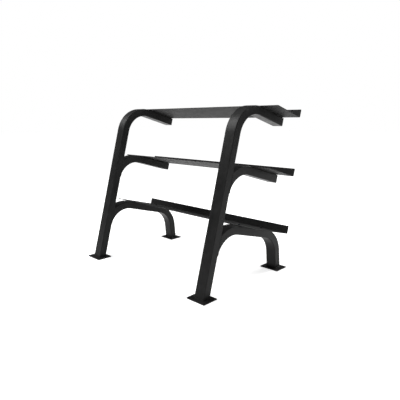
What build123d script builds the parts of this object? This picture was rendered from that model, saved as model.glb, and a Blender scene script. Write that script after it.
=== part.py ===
from build123d import *
from math import cos, radians, sin, sqrt
import os

# Free-standing three-tier dumbbell rack: two welded side frames of bent rectangular tube,
# tied together only by three sloping trays that bolt down onto the frames' arms.
# Row frame in millimetres: +Z up, front (the tray lips) towards -Y, +X to the right of
# someone standing in front. The origin is on the floor, in the middle of the four feet.

# --- overall layout ---
frame_spacing = 1000        # between the two side frames, tube centre to tube centre
foot_spacing = 670          # rear foot centre to front foot centre, on the floor
lean = 15.5                 # uprights lean forward, and the trays slope as much
leg_splay = 5.5             # front legs spread forward towards the floor
first_shelf = 418           # lowest shelf, measured along the upright from the floor
shelf_pitch = 341           # from one shelf to the next, along the upright

# --- frame tube ---
tube_width = 70             # across, along X
tube_depth = 50             # in the plane of the bends
tube_wall = 2.5
tube_corner = 4             # outside corner radius of the tube
bend_radius = 165           # centreline radius of every bend
toe_thickness = 1           # a welded arm's end is trimmed where it would get thinner

# --- trays, from the lowest to the highest ---
shelf_names = ("bottom", "middle", "top")
tray_reach = (470, 420, 370)        # from the upright's front face to the lip's front face
tray_depth = (336, 275, 238)        # from the rear edge to the lip's front face
tray_length = 1295
tray_sheet = 4
tray_bend = 4               # inside radius of the fold at the lip
tray_corner = 3             # rounding of the sheet's free corners
tray_edge = 0.8             # rounding of the sheet's cut edges
lip_height = 48             # from the tray's underside to the top of the lip

# --- tray fixings: button-head screws in flush rivet nuts in the arms ---
screw_inset_rear = 45       # screw to the tray's rear edge
screw_inset_front = 70      # screw to the lip's front face, on the straight run of every arm
screw_size = 8
screw_length = 16           # under the head
screw_head = 14
screw_head_height = 4.4
screw_dome = 2              # rounding of the button head
hex_key = 5                 # across flats
hex_depth = 2.6
washer_size = 17
washer_thickness = 1.6
hole_clearance = 0.5        # on the radius of every clearance hole
thread_clearance = 0.05     # on the radius, between screw and rivet nut
nut_body = 11
nut_head = 13
nut_length = 15
nut_bulge = 13.4            # the collar that setting the nut forms under the wall
nut_bulge_height = 3
nut_clearance = 0.05        # on the radius, between rivet nut and arm

# --- plastic caps in the open arm ends ---
cap_flange = 5
cap_plug = 22
cap_plug_wall = 2.5
cap_clearance = 0.3         # all round, between plug and tube wall
cap_round = 1.5             # rounding of the flange's outer edge

# --- feet ---
plate_length = 132          # along X
plate_width = 104           # along Y
plate_thickness = 5
plate_corner = 4
plate_edge = 1              # rounding of the plate's upper rim
pad_inset = 3
pad_thickness = 2
pad_corner = 3

# --- values that follow from the ones above ---
up = Vector(0, -sin(radians(lean)), cos(radians(lean)))
forward = Vector(0, -cos(radians(lean)), -sin(radians(lean)))
upright_foot = Vector(0, foot_spacing / 2, 0)
leg_foot = Vector(0, -foot_spacing / 2, 0)
leg_up = Vector(0, sin(radians(leg_splay)), cos(radians(leg_splay)))
across = Vector(1, 0, 0)
face = tube_depth / 2                       # centreline to the tube's front face
inner_bend = bend_radius - tube_depth / 2   # radius of the inside of a bend
foot_top = pad_thickness + plate_thickness
plug_width = tube_width - 2 * (tube_wall + cap_clearance)
plug_depth = tube_depth - 2 * (tube_wall + cap_clearance)
plug_corner = tube_corner - tube_wall
side_names = {"left": -1, "right": 1}
arm_names = {"middle": "middle_arm", "bottom": "lower_arm_and_leg"}


def frame_centre(side):
    """X of a side frame's middle plane, as a vector."""
    return across * (side_names[side] * frame_spacing / 2)


def shelf_height(level):
    """Distance of a shelf's underside along the upright from the floor."""
    return first_shelf + level * shelf_pitch


def in_frame(height, ahead):
    """Point in a frame's middle plane: along the upright's centreline, then forward of it."""
    return upright_foot + up * height + forward * ahead


def shelf_plane(level, lift=0):
    """Plane of a shelf's underside, or above it, with its origin at the uprights' front faces."""
    return Plane(origin=in_frame(shelf_height(level) + lift, face), x_dir=across, z_dir=up)


def leg_corner():
    """Where the lowest arm's centreline meets the front leg's centreline."""
    start = in_frame(shelf_height(0) - tube_depth / 2, 0)
    gap = leg_foot - start
    ahead = (gap.Y * leg_up.Z - gap.Z * leg_up.Y) / (forward.Y * leg_up.Z - forward.Z * leg_up.Y)
    return start + forward * ahead


def arm_corner(level):
    """Where an arm's centreline meets the upright's centreline."""
    return in_frame(shelf_height(level) - tube_depth / 2, 0)


def arm_end(level):
    """End of an arm's centreline, level with the front face of its tray's lip."""
    return in_frame(shelf_height(level) - tube_depth / 2, face + tray_reach[level])


def screw_places(level):
    """Local places of a tray's four screws on the shelf plane at its upright face."""
    rear = tray_reach[level] - tray_depth[level] + screw_inset_rear
    front = tray_reach[level] - screw_inset_front
    return [(x, -ahead) for x in (-frame_spacing / 2, frame_spacing / 2) for ahead in (rear, front)]


def save(piece, name):
    """Label a finished piece and write its STEP file."""
    piece.part.label = name
    export_step(piece.part, f"parts/{name}.step")


def edges_as_long_as(piece, length):
    """Edges of a piece that have a given length."""
    return piece.edges().filter_by(lambda edge: abs(edge.length - length) < 0.001)


def bent_tube(side, corners):
    """Rectangular tube swept along a path with a bend of the common radius at each corner."""
    places = [corner + frame_centre(side) for corner in corners]
    with BuildPart() as tube:
        with BuildLine() as path:
            FilletPolyline(*places, radius=bend_radius)
        start = Plane(origin=path.line @ 0, x_dir=across, z_dir=path.line % 0)
        with BuildSketch(start):
            RectangleRounded(tube_width, tube_depth, tube_corner)
            RectangleRounded(
                tube_width - 2 * tube_wall,
                tube_depth - 2 * tube_wall,
                tube_corner - tube_wall,
                mode=Mode.SUBTRACT,
            )
        sweep(path=path.line)
    return tube


def cut_nut_holes(side, level):
    """Countersunk holes for the rivet nuts, through the arm's upper wall only."""
    with Locations(shelf_plane(level)):
        with Locations(*[place for place in screw_places(level) if place[0] * side_names[side] > 0]):
            CounterSinkHole(
                radius=nut_body / 2 + nut_clearance,
                counter_sink_radius=nut_head / 2 + nut_clearance,
                depth=2 * tube_wall,
            )


os.makedirs("parts", exist_ok=True)

# --- side frames: upright with the top arm, middle arm, lowest arm with the front leg ---
for side in side_names:
    upright_base = in_frame(-tube_depth, 0)
    upright = bent_tube(side, [upright_base, arm_corner(2), arm_end(2)])
    with upright:
        split(bisect_by=Plane.XY.offset(foot_top), keep=Keep.TOP)
        cut_nut_holes(side, 2)
    save(upright, f"{side}_upright")

    # A welded arm leaves the upright like a bend of the same radius. It is cut off along
    # the upright's front face, and its thin lower end is trimmed square to the upright.
    front_face = Plane(origin=in_frame(0, face), x_dir=across, z_dir=forward)
    toe_rise = sqrt(inner_bend**2 - (inner_bend - toe_thickness) ** 2)
    for level, name in enumerate(("bottom", "middle")):
        bend_start = shelf_height(level) - tube_depth - inner_bend
        run_in = in_frame(bend_start - tube_depth, 0)
        if name == "bottom":
            corners = [run_in, arm_corner(level), leg_corner(), leg_foot - leg_up * tube_depth]
        else:
            corners = [run_in, arm_corner(level), arm_end(level)]
        toe_cut = Plane(
            origin=in_frame(bend_start + toe_rise, 0) + frame_centre(side),
            x_dir=across,
            z_dir=up,
        )
        arm = bent_tube(side, corners)
        with arm:
            split(bisect_by=front_face, keep=Keep.TOP)
            with BuildSketch(toe_cut) as toe_waste:
                Rectangle(2 * tube_width, 2 * (face + 2 * toe_thickness))
            extrude(to_extrude=toe_waste.sketch, amount=-inner_bend, mode=Mode.SUBTRACT)
            if name == "bottom":
                split(bisect_by=Plane.XY.offset(foot_top), keep=Keep.TOP)
            cut_nut_holes(side, level)
        save(arm, f"{side}_{arm_names[name]}")

# --- feet: a welded plate on a rubber pad under every upright and front leg ---
for side in side_names:
    for end, centre in {"rear": upright_foot, "front": leg_foot}.items():
        foot = frame_centre(side) + centre
        with BuildPart() as plate:
            with BuildSketch(Plane(foot + Vector(0, 0, pad_thickness))):
                RectangleRounded(plate_length, plate_width, plate_corner)
            extrude(amount=plate_thickness)
            fillet(plate.faces().sort_by(Axis.Z)[-1].edges(), plate_edge)
        save(plate, f"{side}_{end}_foot_plate")

        with BuildPart() as pad:
            with BuildSketch(Plane(foot)):
                RectangleRounded(plate_length - 2 * pad_inset, plate_width - 2 * pad_inset, pad_corner)
            extrude(amount=pad_thickness)
        save(pad, f"{side}_{end}_foot_pad")

# --- trays: folded sheet with an upturned front lip, and their fixings ---
for level, name in enumerate(shelf_names):
    rear_edge = tray_reach[level] - tray_depth[level]
    with BuildPart(shelf_plane(level)) as tray:
        with BuildSketch(Plane(shelf_plane(level).origin, x_dir=forward, z_dir=-across)):
            with BuildLine() as fold:
                FilletPolyline(
                    (rear_edge, 0),
                    (tray_reach[level], 0),
                    (tray_reach[level], lip_height),
                    radius=tray_bend + tray_sheet,
                )
                offset(amount=tray_sheet, side=Side.LEFT)
            make_face()
        extrude(amount=tray_length / 2, both=True)
        fillet(edges_as_long_as(tray, tray_sheet), tray_corner)
        seams = edges_as_long_as(tray, tray_sheet) + edges_as_long_as(tray, tray_length)
        fillet([edge for edge in tray.edges() if edge not in seams], tray_edge)
        with Locations(*screw_places(level)):
            Hole(screw_size / 2 + hole_clearance, depth=2 * tray_sheet)
    save(tray, f"{name}_tray")

    with BuildPart(shelf_plane(level)) as rivet_nuts:
        countersink = (nut_head - nut_body) / 2
        bottom_align = (Align.CENTER, Align.CENTER, Align.MAX)
        with Locations(*screw_places(level)):
            Cylinder(nut_body / 2, nut_length, align=bottom_align)
            Cone(nut_body / 2, nut_head / 2, countersink, align=bottom_align)
        with Locations(*[(x, y, -tube_wall) for x, y in screw_places(level)]):
            Cylinder(nut_bulge / 2, nut_bulge_height, align=bottom_align)
        with Locations(*screw_places(level)):
            Hole(screw_size / 2 + thread_clearance, depth=2 * nut_length)
    save(rivet_nuts, f"{name}_tray_rivet_nuts")

    with BuildPart(shelf_plane(level, lift=tray_sheet)) as washers:
        with Locations(*screw_places(level)):
            Cylinder(washer_size / 2, washer_thickness, align=(Align.CENTER, Align.CENTER, Align.MIN))
            Hole(screw_size / 2 + hole_clearance, depth=2 * washer_thickness)
    save(washers, f"{name}_tray_washers")

    with BuildPart(shelf_plane(level, lift=tray_sheet + washer_thickness)) as screws:
        with Locations(*screw_places(level)):
            Cylinder(screw_head / 2, screw_head_height, align=(Align.CENTER, Align.CENTER, Align.MIN))
        rims = screws.edges().filter_by(GeomType.CIRCLE).group_by(Axis((0, 0, 0), up))[-1]
        fillet(rims, screw_dome)
        with BuildSketch(shelf_plane(level, lift=tray_sheet + washer_thickness + screw_head_height)):
            with Locations(*screw_places(level)):
                RegularPolygon(hex_key / 2, 6, major_radius=False)
        extrude(amount=-hex_depth, mode=Mode.SUBTRACT)
        with Locations(*screw_places(level)):
            Cylinder(screw_size / 2, screw_length, align=(Align.CENTER, Align.CENTER, Align.MAX))
    save(screws, f"{name}_tray_screws")

# --- plastic end caps in the open ends of the top and middle arms ---
for side in side_names:
    for level in (1, 2):
        end = arm_end(level) + frame_centre(side)
        with BuildPart() as cap:
            with BuildSketch(Plane(origin=end, x_dir=across, z_dir=forward)):
                RectangleRounded(tube_width, tube_depth, tube_corner)
            extrude(amount=cap_flange)
            outer_rim = cap.faces().sort_by(Axis(end, forward))[-1].edges()
            fillet(outer_rim, cap_round)
            with BuildSketch(Plane(origin=end, x_dir=across, z_dir=forward)):
                RectangleRounded(plug_width, plug_depth, plug_corner)
                RectangleRounded(
                    plug_width - 2 * cap_plug_wall,
                    plug_depth - 2 * cap_plug_wall,
                    plug_corner / 2,
                    mode=Mode.SUBTRACT,
                )
            extrude(amount=-cap_plug)
        save(cap, f"{side}_{shelf_names[level]}_arm_cap")
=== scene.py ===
"""Dressed scene of a free-standing, three-tier dumbbell rack.

Two side frames of bent rectangular tube carry three sloping sheet trays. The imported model
gives every tube, tray, foot, cap and fastener. This script gives them their finishes, adds
the weld beads that join each frame, and sets up the floor, the lights and the camera.
"""

import logging
import math
from collections.abc import Callable
from dataclasses import dataclass, field
from enum import Enum

import bpy
from mathutils import Matrix, Vector


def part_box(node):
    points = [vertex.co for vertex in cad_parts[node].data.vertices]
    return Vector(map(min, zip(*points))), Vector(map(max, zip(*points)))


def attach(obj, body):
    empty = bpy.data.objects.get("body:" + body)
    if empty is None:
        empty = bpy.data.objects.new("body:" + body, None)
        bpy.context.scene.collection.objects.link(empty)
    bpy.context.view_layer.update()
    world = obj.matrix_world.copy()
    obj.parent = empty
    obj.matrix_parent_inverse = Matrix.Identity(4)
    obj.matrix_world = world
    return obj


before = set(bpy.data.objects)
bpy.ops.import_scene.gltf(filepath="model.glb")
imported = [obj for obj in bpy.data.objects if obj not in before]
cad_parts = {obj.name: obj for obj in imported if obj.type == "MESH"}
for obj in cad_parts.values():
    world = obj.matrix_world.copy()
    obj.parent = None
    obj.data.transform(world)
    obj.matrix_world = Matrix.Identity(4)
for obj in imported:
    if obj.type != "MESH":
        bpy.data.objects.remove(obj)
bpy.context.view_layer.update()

LOG = logging.getLogger("dumbbell_rack")
MM = 0.001

# A noise texture stays mostly between these two values.
NOISE_LOW = 0.3
NOISE_HIGH = 0.7

# A diagonal wave texture of scale 1 turns by this many radians for each metre along an axis.
WAVE_RADIANS = 10


class Side(Enum):
    """The two side frames, by the direction of each along X."""

    LEFT = -1
    RIGHT = 1

    @property
    def label(self) -> str:
        """Name of the side as the CAD nodes spell it."""
        return self.name.lower()


class Level(Enum):
    """The three shelves, counted from the floor."""

    BOTTOM = 0
    MIDDLE = 1
    TOP = 2

    @property
    def label(self) -> str:
        """Name of the shelf as the CAD nodes spell it."""
        return self.name.lower()


# ---------------------------------------------------------------------------
# Finishes
# ---------------------------------------------------------------------------


def linear_colour(hex_code: str) -> tuple[float, float, float, float]:
    """Turn an sRGB hex colour into linear RGBA.

    Args:
        hex_code: Six hex digits, such as "1c1c1d".

    Returns:
        Linear red, green, blue and an alpha of one.
    """
    channels = [int(hex_code[i : i + 2], 16) / 255 for i in (0, 2, 4)]
    linear = [c / 12.92 if c <= 0.04045 else ((c + 0.055) / 1.055) ** 2.4 for c in channels]
    return (linear[0], linear[1], linear[2], 1.0)


def add_node(
    material: bpy.types.Material,
    kind: str,
    settings: dict | None = None,
    inputs: dict | None = None,
    links: dict | None = None,
) -> bpy.types.Node:
    """Add one shader node with its settings, socket values and incoming links.

    Args:
        material: Material whose tree gets the node.
        kind: Node type name, such as "ShaderNodeTexNoise".
        settings: Properties of the node itself.
        inputs: Values of input sockets, by socket name or number.
        links: Output sockets that feed input sockets, by socket name or number.

    Returns:
        The new node.
    """
    node = material.node_tree.nodes.new(kind)
    for name, value in (settings or {}).items():
        setattr(node, name, value)
    for socket, value in (inputs or {}).items():
        node.inputs[socket].default_value = value
    for socket, source in (links or {}).items():
        material.node_tree.links.new(source, node.inputs[socket])
    return node


def empty_material(name: str) -> bpy.types.Material:
    """Make a material with an empty node tree."""
    material = bpy.data.materials.new(name)
    material.use_nodes = True
    material.node_tree.nodes.clear()
    return material


def grey(value: float) -> tuple[float, float, float, float]:
    """Opaque grey of one linear value."""
    return (value, value, value, 1.0)


@dataclass(frozen=True)
class EdgeRubAndHighlight:
    """Wear along convex edges, broken up into patches as handling leaves it; the paler colour it
    brings is also a painted edge highlight.

    An edge is felt by how far its rounded normal turns away from the true one.
    """

    radius: float = 1.2 * MM
    onset_likeness: float = 0.995
    full_likeness: float = 0.86
    patch_size: float = 60 * MM
    patch_onset: float = 0.54
    patch_full: float = 0.70

    def mask(self, material: bpy.types.Material) -> bpy.types.NodeSocket:
        """Add the nodes of a mask that is white where an edge is rubbed and gets a painted highlight.

        Args:
            material: Material whose tree gets the nodes.

        Returns:
            The mask's output socket.
        """
        place = add_node(material, "ShaderNodeTexCoord").outputs["Object"]
        rounded = add_node(material, "ShaderNodeBevel", {"samples": 4}, {"Radius": self.radius})
        flat = add_node(material, "ShaderNodeNewGeometry").outputs["Normal"]
        likeness = add_node(
            material,
            "ShaderNodeVectorMath",
            {"operation": "DOT_PRODUCT"},
            links={0: rounded.outputs[0], 1: flat},
        )
        edge = add_node(
            material,
            "ShaderNodeMapRange",
            inputs={"From Min": self.onset_likeness, "From Max": self.full_likeness},
            links={"Value": likeness.outputs["Value"]},
        )
        patches = add_node(
            material,
            "ShaderNodeTexNoise",
            inputs={"Scale": 1 / self.patch_size, "Detail": 6.0, "Roughness": 0.7},
            links={"Vector": place},
        )
        rub_and_highlight_patches = add_node(
            material,
            "ShaderNodeMapRange",
            inputs={"From Min": self.patch_onset, "From Max": self.patch_full},
            links={"Value": patches.outputs[0]},
        )
        # Patchy edge mask: where the edges are worn, and also where the painted edge highlight falls.
        both = add_node(
            material,
            "ShaderNodeMath",
            {"operation": "MULTIPLY", "use_clamp": True},
            links={0: edge.outputs["Result"], 1: rub_and_highlight_patches.outputs["Result"]},
        )
        return both.outputs[0]


@dataclass(frozen=True)
class PowderCoat:
    """Satin black polyester powder coat, sprayed and baked on steel.

    It has the orange peel of baked powder, so highlights are soft, and it is a little paler
    where an edge has been rubbed, a paleness that is wear and also a painted edge highlight.
    The peel is drawn several times higher than on a real coat, because it would be too fine to show.
    """

    name: str
    colour: str = "181818"
    # Paler colour of rubbed edges: wear, and also a painted edge highlight.
    rubbed_and_highlight_colour: str = "3a3a3a"
    roughness: float = 0.4
    roughness_spread: float = 0.04
    tone_spread: float = 0.2
    gloss_level: float = 0.12
    peel_size: float = 1.8 * MM
    peel_height: float = 0.2 * MM
    flow_size: float = 45 * MM
    rub: EdgeRubAndHighlight = EdgeRubAndHighlight()

    def build(self) -> bpy.types.Material:
        """Build the material."""
        material = empty_material(self.name)
        place = add_node(material, "ShaderNodeTexCoord").outputs["Object"]
        flow = add_node(
            material,
            "ShaderNodeTexNoise",
            inputs={"Scale": 1 / self.flow_size, "Detail": 4.0, "Roughness": 0.55},
            links={"Vector": place},
        )
        peel = add_node(
            material,
            "ShaderNodeTexNoise",
            inputs={"Scale": 1 / self.peel_size, "Detail": 2.0, "Roughness": 0.4},
            links={"Vector": place},
        )
        rubbed_and_highlight = self.rub.mask(material)
        tone = add_node(
            material,
            "ShaderNodeMapRange",
            inputs={
                "From Min": NOISE_LOW,
                "From Max": NOISE_HIGH,
                "To Min": 1 - self.tone_spread,
                "To Max": 1 + self.tone_spread,
            },
            links={"Value": flow.outputs[0]},
        )
        # Mixes in the paler edge colour: wear that also serves as a painted edge highlight.
        base = add_node(
            material,
            "ShaderNodeMix",
            {"data_type": "RGBA"},
            {"A": linear_colour(self.colour), "B": linear_colour(self.rubbed_and_highlight_colour)},
            {"Factor": rubbed_and_highlight},
        )
        shaded = add_node(
            material,
            "ShaderNodeVectorMath",
            {"operation": "SCALE"},
            links={0: base.outputs["Result"], "Scale": tone.outputs["Result"]},
        )
        sheen = add_node(
            material,
            "ShaderNodeMapRange",
            inputs={
                "From Min": NOISE_LOW,
                "From Max": NOISE_HIGH,
                "To Min": self.roughness - self.roughness_spread,
                "To Max": self.roughness + self.roughness_spread,
            },
            links={"Value": flow.outputs[0]},
        )
        relief = add_node(
            material,
            "ShaderNodeBump",
            inputs={"Strength": 0.6, "Distance": self.peel_height},
            links={"Height": peel.outputs[0]},
        )
        shader = add_node(
            material,
            "ShaderNodeBsdfPrincipled",
            inputs={"Metallic": 0.0, "IOR": 1.5, "Specular IOR Level": self.gloss_level},
            links={
                "Base Color": shaded.outputs["Vector"],
                "Roughness": sheen.outputs["Result"],
                "Normal": relief.outputs["Normal"],
            },
        )
        add_node(material, "ShaderNodeOutputMaterial", links={"Surface": shader.outputs[0]})
        return material


@dataclass(frozen=True)
class MouldedPlastic:
    """Black polyethylene, injection moulded against a spark-eroded tool, so it is matt."""

    name: str = "moulded_black_polyethylene"
    colour: str = "141414"
    grain_colour: str = "1d1d1d"
    roughness: float = 0.55
    grain_size: float = 0.9 * MM
    grain_height: float = 0.05 * MM

    def build(self) -> bpy.types.Material:
        """Build the material."""
        material = empty_material(self.name)
        place = add_node(material, "ShaderNodeTexCoord").outputs["Object"]
        grain = add_node(
            material,
            "ShaderNodeTexVoronoi",
            {"feature": "SMOOTH_F1"},
            {"Scale": 1 / self.grain_size, "Smoothness": 0.6},
            {"Vector": place},
        )
        tone = add_node(
            material,
            "ShaderNodeMix",
            {"data_type": "RGBA"},
            {"A": linear_colour(self.colour), "B": linear_colour(self.grain_colour)},
            {"Factor": grain.outputs["Distance"]},
        )
        relief = add_node(
            material,
            "ShaderNodeBump",
            inputs={"Strength": 0.5, "Distance": self.grain_height},
            links={"Height": grain.outputs["Distance"]},
        )
        shader = add_node(
            material,
            "ShaderNodeBsdfPrincipled",
            inputs={"Metallic": 0.0, "IOR": 1.5, "Roughness": self.roughness},
            links={"Base Color": tone.outputs["Result"], "Normal": relief.outputs["Normal"]},
        )
        add_node(material, "ShaderNodeOutputMaterial", links={"Surface": shader.outputs[0]})
        return material


@dataclass(frozen=True)
class PadRubber:
    """Pressed black rubber sheet with a fine cloth-like print and a dusty bloom."""

    name: str = "pressed_black_rubber"
    colour: str = "0d0d0d"
    bloom_colour: str = "1b1b1a"
    bloom_size: float = 18 * MM
    bloom_onset: float = 0.35
    bloom_full: float = 0.75
    roughness: float = 0.85
    print_pitch: float = 1.5 * MM
    print_height: float = 0.12 * MM

    def build(self) -> bpy.types.Material:
        """Build the material."""
        material = empty_material(self.name)
        place = add_node(material, "ShaderNodeTexCoord").outputs["Object"]
        weave = add_node(
            material,
            "ShaderNodeTexWave",
            {"wave_type": "BANDS", "bands_direction": "DIAGONAL"},
            {"Scale": math.tau / (WAVE_RADIANS * math.sqrt(3) * self.print_pitch), "Distortion": 0.4},
            {"Vector": place},
        )
        dust = add_node(
            material,
            "ShaderNodeTexNoise",
            inputs={"Scale": 1 / self.bloom_size, "Detail": 5.0},
            links={"Vector": place},
        )
        bloom = add_node(
            material,
            "ShaderNodeMapRange",
            inputs={"From Min": self.bloom_onset, "From Max": self.bloom_full},
            links={"Value": dust.outputs[0]},
        )
        tone = add_node(
            material,
            "ShaderNodeMix",
            {"data_type": "RGBA"},
            {"A": linear_colour(self.colour), "B": linear_colour(self.bloom_colour)},
            {"Factor": bloom.outputs["Result"]},
        )
        relief = add_node(
            material,
            "ShaderNodeBump",
            inputs={"Strength": 0.5, "Distance": self.print_height},
            links={"Height": weave.outputs["Fac"]},
        )
        shader = add_node(
            material,
            "ShaderNodeBsdfPrincipled",
            inputs={"Metallic": 0.0, "IOR": 1.52, "Roughness": self.roughness},
            links={"Base Color": tone.outputs["Result"], "Normal": relief.outputs["Normal"]},
        )
        add_node(material, "ShaderNodeOutputMaterial", links={"Surface": shader.outputs[0]})
        return material


@dataclass(frozen=True)
class PlatedSteel:
    """Turned or headed steel under a thin coat, black oxide or zinc.

    The coat is uneven from dipping, so its sheen comes and goes, and the fine marks of turning
    show through it.
    """

    name: str
    colour: str
    roughness: float
    roughness_spread: float = 0.08
    blotch_size: float = 4 * MM
    turning_pitch: float = 0.4 * MM
    turning_depth: float = 0.02 * MM

    def build(self) -> bpy.types.Material:
        """Build the material."""
        material = empty_material(self.name)
        place = add_node(material, "ShaderNodeTexCoord").outputs["Object"]
        blotches = add_node(
            material,
            "ShaderNodeTexNoise",
            inputs={"Scale": 1 / self.blotch_size, "Detail": 3.0},
            links={"Vector": place},
        )
        marks = add_node(
            material,
            "ShaderNodeTexNoise",
            inputs={"Scale": 1 / self.turning_pitch, "Detail": 1.0},
            links={"Vector": place},
        )
        sheen = add_node(
            material,
            "ShaderNodeMapRange",
            inputs={
                "To Min": self.roughness - self.roughness_spread,
                "To Max": self.roughness + self.roughness_spread,
            },
            links={"Value": blotches.outputs[0]},
        )
        relief = add_node(
            material,
            "ShaderNodeBump",
            inputs={"Strength": 0.3, "Distance": self.turning_depth},
            links={"Height": marks.outputs[0]},
        )
        shader = add_node(
            material,
            "ShaderNodeBsdfPrincipled",
            inputs={"Base Color": linear_colour(self.colour), "Metallic": 1.0},
            links={"Roughness": sheen.outputs["Result"], "Normal": relief.outputs["Normal"]},
        )
        add_node(material, "ShaderNodeOutputMaterial", links={"Surface": shader.outputs[0]})
        return material


@dataclass(frozen=True)
class StudioFloor:
    """Backlit opal acrylic, as on a product table, with a barely visible mottle."""

    name: str = "backlit_opal_acrylic"
    colour: str = "f2f2f2"
    mottle_colour: str = "f5f5f5"
    mottle_size: float = 1.25
    backlight: float = 0.6

    def build(self) -> bpy.types.Material:
        """Build the material."""
        material = empty_material(self.name)
        place = add_node(material, "ShaderNodeTexCoord").outputs["Object"]
        mottle = add_node(
            material,
            "ShaderNodeTexNoise",
            inputs={"Scale": 1 / self.mottle_size, "Detail": 2.0},
            links={"Vector": place},
        )
        share = add_node(
            material,
            "ShaderNodeMapRange",
            inputs={"From Min": NOISE_LOW, "From Max": NOISE_HIGH},
            links={"Value": mottle.outputs[0]},
        )
        tone = add_node(
            material,
            "ShaderNodeMix",
            {"data_type": "RGBA"},
            {"A": linear_colour(self.colour), "B": linear_colour(self.mottle_colour)},
            {"Factor": share.outputs["Result"]},
        )
        shader = add_node(
            material,
            "ShaderNodeBsdfPrincipled",
            inputs={
                "Roughness": 0.9,
                "Specular IOR Level": 0.1,
                "Emission Color": grey(1.0),
                "Emission Strength": self.backlight,
            },
            links={"Base Color": tone.outputs["Result"]},
        )
        add_node(material, "ShaderNodeOutputMaterial", links={"Surface": shader.outputs[0]})
        return material


def dress(node_name: str, material: bpy.types.Material) -> None:
    """Give a CAD node its finish.

    Args:
        node_name: Name of the CAD node.
        material: Finish for the whole node.
    """
    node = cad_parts[node_name]
    node.data.materials.clear()
    node.data.materials.append(material)
    LOG.info("dressed %s in %s", node_name, material.name)


# ---------------------------------------------------------------------------
# Weld beads
# ---------------------------------------------------------------------------


@dataclass(frozen=True)
class WeldBead:
    """Rippled bead laid around a closed, rounded rectangle.

    The bead is one ripple of tube, repeated along the outline and closed on itself. A ripple is
    widest between its two crown shares and narrows to both ends.
    """

    name: str
    centre: Vector
    across: Vector
    along: Vector
    width: float
    height: float
    corner: float
    radius: float = 3.2 * MM
    ripple_pitch: float = 4.5 * MM
    ripple_depth: float = 0.16
    crown: tuple[float, float] = (0.3, 0.7)
    sides: int = 10
    corner_steps: int = 6
    join_gap: float = 0.02 * MM
    close_gap: float = 0.3 * MM

    def lay(self, material: bpy.types.Material) -> bpy.types.Object:
        """Model the bead and put it on the rack.

        Args:
            material: Finish of the bead.

        Returns:
            The finished bead.
        """
        outline = self._outline()
        length = sum(spline.calc_length() for spline in outline.data.splines)
        count = round(length / self.ripple_pitch)
        bead = self._ripple(length / count)
        repeat = bead.modifiers.new("repeat", "ARRAY")
        repeat.count = count
        repeat.use_merge_vertices = True
        repeat.merge_threshold = self.join_gap
        follow = bead.modifiers.new("follow", "CURVE")
        follow.object = outline
        follow.deform_axis = "POS_X"
        select_only(bead)
        bpy.ops.object.modifier_apply(modifier=repeat.name)
        bpy.ops.object.modifier_apply(modifier=follow.name)
        bpy.ops.object.mode_set(mode="EDIT")
        bpy.ops.mesh.select_all(action="SELECT")
        bpy.ops.mesh.remove_doubles(threshold=self.close_gap)
        bpy.ops.mesh.normals_make_consistent(inside=False)
        bpy.ops.object.mode_set(mode="OBJECT")
        bpy.ops.object.shade_smooth()
        bpy.data.objects.remove(outline)
        bead.data.materials.append(material)
        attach(bead, "root")
        LOG.info("laid %s with %d ripples", self.name, count)
        return bead

    def _outline(self) -> bpy.types.Object:
        """Rounded rectangle that the bead follows, as a closed curve in place."""
        bpy.ops.object.select_all(action="DESELECT")
        bpy.ops.mesh.primitive_plane_add(size=1.0)
        plane = bpy.context.object
        plane.scale = (self.width, self.height, 1.0)
        bpy.ops.object.transform_apply(location=False, rotation=False, scale=True)
        bpy.ops.object.mode_set(mode="EDIT")
        bpy.ops.mesh.select_all(action="SELECT")
        bpy.ops.mesh.bevel(offset=self.corner, segments=self.corner_steps, affect="VERTICES")
        bpy.ops.mesh.delete(type="ONLY_FACE")
        bpy.ops.object.mode_set(mode="OBJECT")
        normal = self.across.cross(self.along)
        turn = Matrix((self.across, self.along, normal)).transposed().to_4x4()
        plane.matrix_world = Matrix.Translation(self.centre) @ turn
        bpy.ops.object.transform_apply(location=True, rotation=True, scale=True)
        bpy.ops.object.convert(target="CURVE")
        outline = bpy.context.object
        outline.data.dimensions = "3D"
        return outline

    def _ripple(self, pitch: float) -> bpy.types.Object:
        """One ripple of the bead, along +X from the origin.

        Args:
            pitch: Length of the ripple.

        Returns:
            An open tube that narrows at both ends.
        """
        bpy.ops.object.select_all(action="DESELECT")
        bpy.ops.mesh.primitive_cylinder_add(
            vertices=self.sides,
            radius=self.radius,
            depth=pitch,
            end_fill_type="NOTHING",
            location=(pitch / 2, 0.0, 0.0),
            rotation=(0.0, math.pi / 2, 0.0),
        )
        ripple = bpy.context.object
        ripple.name = self.name
        bpy.ops.object.transform_apply(location=True, rotation=True, scale=True)
        bpy.ops.object.mode_set(mode="EDIT")
        for share in self.crown:
            bpy.ops.mesh.select_all(action="SELECT")
            bpy.ops.mesh.bisect(plane_co=(share * pitch, 0.0, 0.0), plane_no=(1.0, 0.0, 0.0))
        bpy.ops.object.mode_set(mode="OBJECT")
        near = self.crown[0] / 2 * pitch
        select_vertices(ripple, lambda place: min(place.x, pitch - place.x) < near)
        bpy.ops.object.mode_set(mode="EDIT")
        squeeze = 1.0 - self.ripple_depth
        bpy.ops.transform.resize(value=(1.0, squeeze, squeeze))
        bpy.ops.object.mode_set(mode="OBJECT")
        return ripple


def select_only(piece: bpy.types.Object) -> None:
    """Select one object alone and make it active."""
    bpy.ops.object.select_all(action="DESELECT")
    piece.select_set(True)
    bpy.context.view_layer.objects.active = piece


def select_vertices(piece: bpy.types.Object, wanted: Callable[[Vector], bool]) -> None:
    """Select the vertices of a mesh whose place passes a test.

    Args:
        piece: Mesh object in object mode.
        wanted: Function from a vertex's place to True or False.
    """
    select_only(piece)
    bpy.ops.object.mode_set(mode="EDIT")
    bpy.ops.mesh.select_mode(type="VERT")
    bpy.ops.mesh.select_all(action="DESELECT")
    bpy.ops.object.mode_set(mode="OBJECT")
    for vertex in piece.data.vertices:
        vertex.select = wanted(vertex.co)


# ---------------------------------------------------------------------------
# Sub-assemblies
# ---------------------------------------------------------------------------


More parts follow.
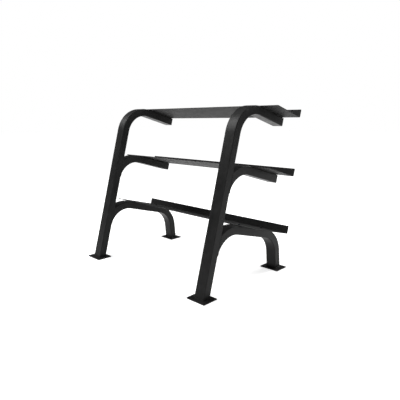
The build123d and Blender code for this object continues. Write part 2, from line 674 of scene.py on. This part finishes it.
@dataclass(frozen=True)
class FrameShape:
    """Sizes of the side frames that the welds follow, in metres."""

    lean: float = math.radians(15.5)
    leg_splay: float = math.radians(5.5)
    tube_width: float = 70 * MM
    tube_depth: float = 50 * MM
    tube_corner: float = 4 * MM
    bend_inside: float = 140 * MM
    first_shelf: float = 418 * MM
    shelf_pitch: float = 341 * MM
    toe_thickness: float = 1 * MM

    @property
    def up(self) -> Vector:
        """Direction up along the leaning upright."""
        return Vector((0.0, -math.sin(self.lean), math.cos(self.lean)))

    @property
    def forward(self) -> Vector:
        """Direction forward and down along an arm."""
        return Vector((0.0, -math.cos(self.lean), -math.sin(self.lean)))

    def bend_height(self, level: Level) -> float:
        """Height of a bend's centre along the upright."""
        shelf = self.first_shelf + level.value * self.shelf_pitch
        return shelf - self.tube_depth - self.bend_inside


@dataclass
class SideFrame:
    """One welded side frame: upright, two arms, front leg, feet and caps."""

    side: Side
    coat: bpy.types.Material
    plastic: bpy.types.Material
    rubber: bpy.types.Material
    shape: FrameShape = field(default_factory=FrameShape)
    bead_sink: float = 1.5 * MM

    def build(self) -> None:
        """Dress the frame's nodes and lay its welds."""
        self._dress()
        for level in (Level.BOTTOM, Level.MIDDLE):
            self._weld_arm(level)
        self._weld_foot("rear", self.shape.lean)
        self._weld_foot("front", -self.shape.leg_splay)

    def _dress(self) -> None:
        """Give every node of the frame its finish."""
        name = self.side.label
        for part in ("upright", "middle_arm", "lower_arm_and_leg"):
            dress(f"{name}_{part}", self.coat)
        for end in ("rear", "front"):
            dress(f"{name}_{end}_foot_plate", self.coat)
            dress(f"{name}_{end}_foot_pad", self.rubber)
        for level in (Level.MIDDLE, Level.TOP):
            dress(f"{name}_{level.label}_arm_cap", self.plastic)

    def _centre(self) -> Vector:
        """Middle of the frame on the floor, at the upright's foot."""
        low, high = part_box(f"{self.side.label}_rear_foot_plate")
        middle = (low + high) / 2
        return Vector((middle.x, middle.y, 0.0))

    def _weld_arm(self, level: Level) -> None:
        """Weld an arm's cut end to the upright's front face.

        Args:
            level: Shelf of the arm.
        """
        shape = self.shape
        inside = shape.bend_inside
        outside = inside + shape.tube_depth
        toe = math.sqrt(inside**2 - (inside - shape.toe_thickness) ** 2)
        heel = math.sqrt(outside**2 - inside**2)
        middle = shape.bend_height(level) + (toe + heel) / 2
        place = self._centre() + shape.up * middle + shape.forward * shape.tube_depth / 2
        WeldBead(
            name=f"{self.side.label}_{level.label}_arm_weld",
            centre=place,
            across=Vector((1.0, 0.0, 0.0)),
            along=shape.up,
            width=shape.tube_width - 2 * self.bead_sink,
            height=heel - toe + self.bead_sink,
            corner=shape.tube_corner,
        ).lay(self.coat)

    def _weld_foot(self, end: str, lean: float) -> None:
        """Weld a tube's foot to its plate.

        Args:
            end: "rear" for the upright, "front" for the leg.
            lean: Angle that the tube leans forward, from the floor up.
        """
        shape = self.shape
        low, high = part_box(f"{self.side.label}_{end}_foot_plate")
        middle = (low + high) / 2
        top = high.z
        centre = Vector((middle.x, middle.y - top * math.tan(lean), top))
        WeldBead(
            name=f"{self.side.label}_{end}_foot_weld",
            centre=centre,
            across=Vector((1.0, 0.0, 0.0)),
            along=Vector((0.0, 1.0, 0.0)),
            width=shape.tube_width,
            height=shape.tube_depth / math.cos(lean),
            corner=shape.tube_corner,
        ).lay(self.coat)


@dataclass
class Tray:
    """One sloping tray with its screws, washers and rivet nuts."""

    level: Level
    coat: bpy.types.Material
    screw_steel: bpy.types.Material
    nut_steel: bpy.types.Material

    def build(self) -> None:
        """Dress the tray and its fixings."""
        name = f"{self.level.label}_tray"
        dress(name, self.coat)
        dress(f"{name}_screws", self.screw_steel)
        dress(f"{name}_washers", self.screw_steel)
        dress(f"{name}_rivet_nuts", self.nut_steel)


# ---------------------------------------------------------------------------
# Studio
# ---------------------------------------------------------------------------


@dataclass(frozen=True)
class SoftBox:
    """Square soft box."""

    name: str
    place: Vector
    aim: Vector
    size: float
    power: float

    def hang(self) -> None:
        """Add the light, facing its aim."""
        light = bpy.data.lights.new(self.name, "AREA")
        light.shape = "SQUARE"
        light.size = self.size
        light.energy = self.power
        box = bpy.data.objects.new(self.name, light)
        box.location = self.place
        box.rotation_euler = (self.aim - self.place).to_track_quat("-Z", "Y").to_euler()
        bpy.context.scene.collection.objects.link(box)
        LOG.info("hung %s", self.name)


SOFT_BOXES = (
    SoftBox(
        name="rear_box",
        place=Vector((2.6, 1.7, 3.65)),
        aim=Vector((0.0, 0.05, 0.95)),
        size=2.0,
        power=160.0,
    ),
    SoftBox(
        name="front_box",
        place=Vector((-0.9, -4.0, 2.8)),
        aim=Vector((0.0, 0.0, 0.5)),
        size=2.2,
        power=120.0,
    ),
    SoftBox(
        name="camera_fill",
        place=Vector((-2.2, 4.3, 2.2)),
        aim=Vector((0.0, 0.0, 0.5)),
        size=3.0,
        power=54.0,
    ),
)


@dataclass
class Studio:
    """White studio: a pale floor, soft light and the camera."""

    floor_size: float = 60.0
    camera_place: Vector = field(default_factory=lambda: Vector((-1.90466, 1.78426, 0.94225)))
    camera_forward: Vector = field(default_factory=lambda: Vector((0.68533, -0.70185, -0.19422)))
    camera_up: Vector = field(default_factory=lambda: Vector((0.13347, -0.14113, 0.98095)))
    lens: float = 36.285
    sensor: float = 36.0
    room_light: float = 0.1
    sky_power: float = 1.2
    sky_spread: float = math.radians(90)

    def build(self) -> None:
        """Set up the whole studio."""
        self._floor()
        self._room()
        self._sky()
        for box in SOFT_BOXES:
            box.hang()
        self._camera()

    def _floor(self) -> None:
        """Lay the floor."""
        bpy.ops.object.select_all(action="DESELECT")
        bpy.ops.mesh.primitive_plane_add(size=self.floor_size)
        floor = bpy.context.object
        floor.name = "studio_floor"
        floor.data.materials.append(StudioFloor().build())
        LOG.info("laid %s", floor.name)

    def _room(self) -> None:
        """White backdrop all round, in a room that is itself dim."""
        world = bpy.data.worlds.new("studio_room")
        bpy.context.scene.world = world
        world.use_nodes = True
        tree = world.node_tree
        background = tree.nodes["Background"]
        seen = tree.nodes.new("ShaderNodeLightPath").outputs["Is Camera Ray"]
        level = tree.nodes.new("ShaderNodeMapRange")
        level.inputs["To Min"].default_value = self.room_light
        level.inputs["To Max"].default_value = 1.0
        tree.links.new(seen, level.inputs["Value"])
        tree.links.new(level.outputs["Result"], background.inputs["Strength"])
        background.inputs["Color"].default_value = grey(1.0)

    def _sky(self) -> None:
        """Very broad overhead light that keeps the floor evenly white."""
        light = bpy.data.lights.new("overhead_silk", "SUN")
        light.energy = self.sky_power
        light.angle = self.sky_spread
        silk = bpy.data.objects.new("overhead_silk", light)
        silk.location = (0.0, 0.0, 4.0)
        bpy.context.scene.collection.objects.link(silk)

    def _camera(self) -> None:
        """Place the camera behind the rack, to its left."""
        data = bpy.data.cameras.new("camera")
        data.lens = self.lens
        data.sensor_width = self.sensor
        camera = bpy.data.objects.new("camera", data)
        back = -self.camera_forward.normalized()
        right = self.camera_up.cross(back).normalized()
        turn = Matrix((right, back.cross(right), back)).transposed().to_4x4()
        camera.matrix_world = Matrix.Translation(self.camera_place) @ turn
        bpy.context.scene.collection.objects.link(camera)
        bpy.context.scene.camera = camera


def main() -> None:
    """Build the dressed rack and its studio."""
    logging.basicConfig(level=logging.INFO, format="%(name)s: %(message)s")
    frame_coat = PowderCoat("satin_black_powder_coat").build()
    tray_coat = PowderCoat(
        "satin_black_powder_coat_tray", colour="242424", roughness=0.55, gloss_level=0.08
    ).build()
    plastic = MouldedPlastic().build()
    rubber = PadRubber().build()
    screw_steel = PlatedSteel("black_oxide_steel", colour="26272a", roughness=0.4).build()
    nut_steel = PlatedSteel("zinc_plated_steel", colour="c4c6c8", roughness=0.35).build()
    for side in Side:
        SideFrame(side, frame_coat, plastic, rubber).build()
    for level in Level:
        Tray(level, tray_coat, screw_steel, nut_steel).build()
    Studio().build()
    bpy.context.scene.view_settings.view_transform = "Standard"


if __name__ == "__main__":
    main()
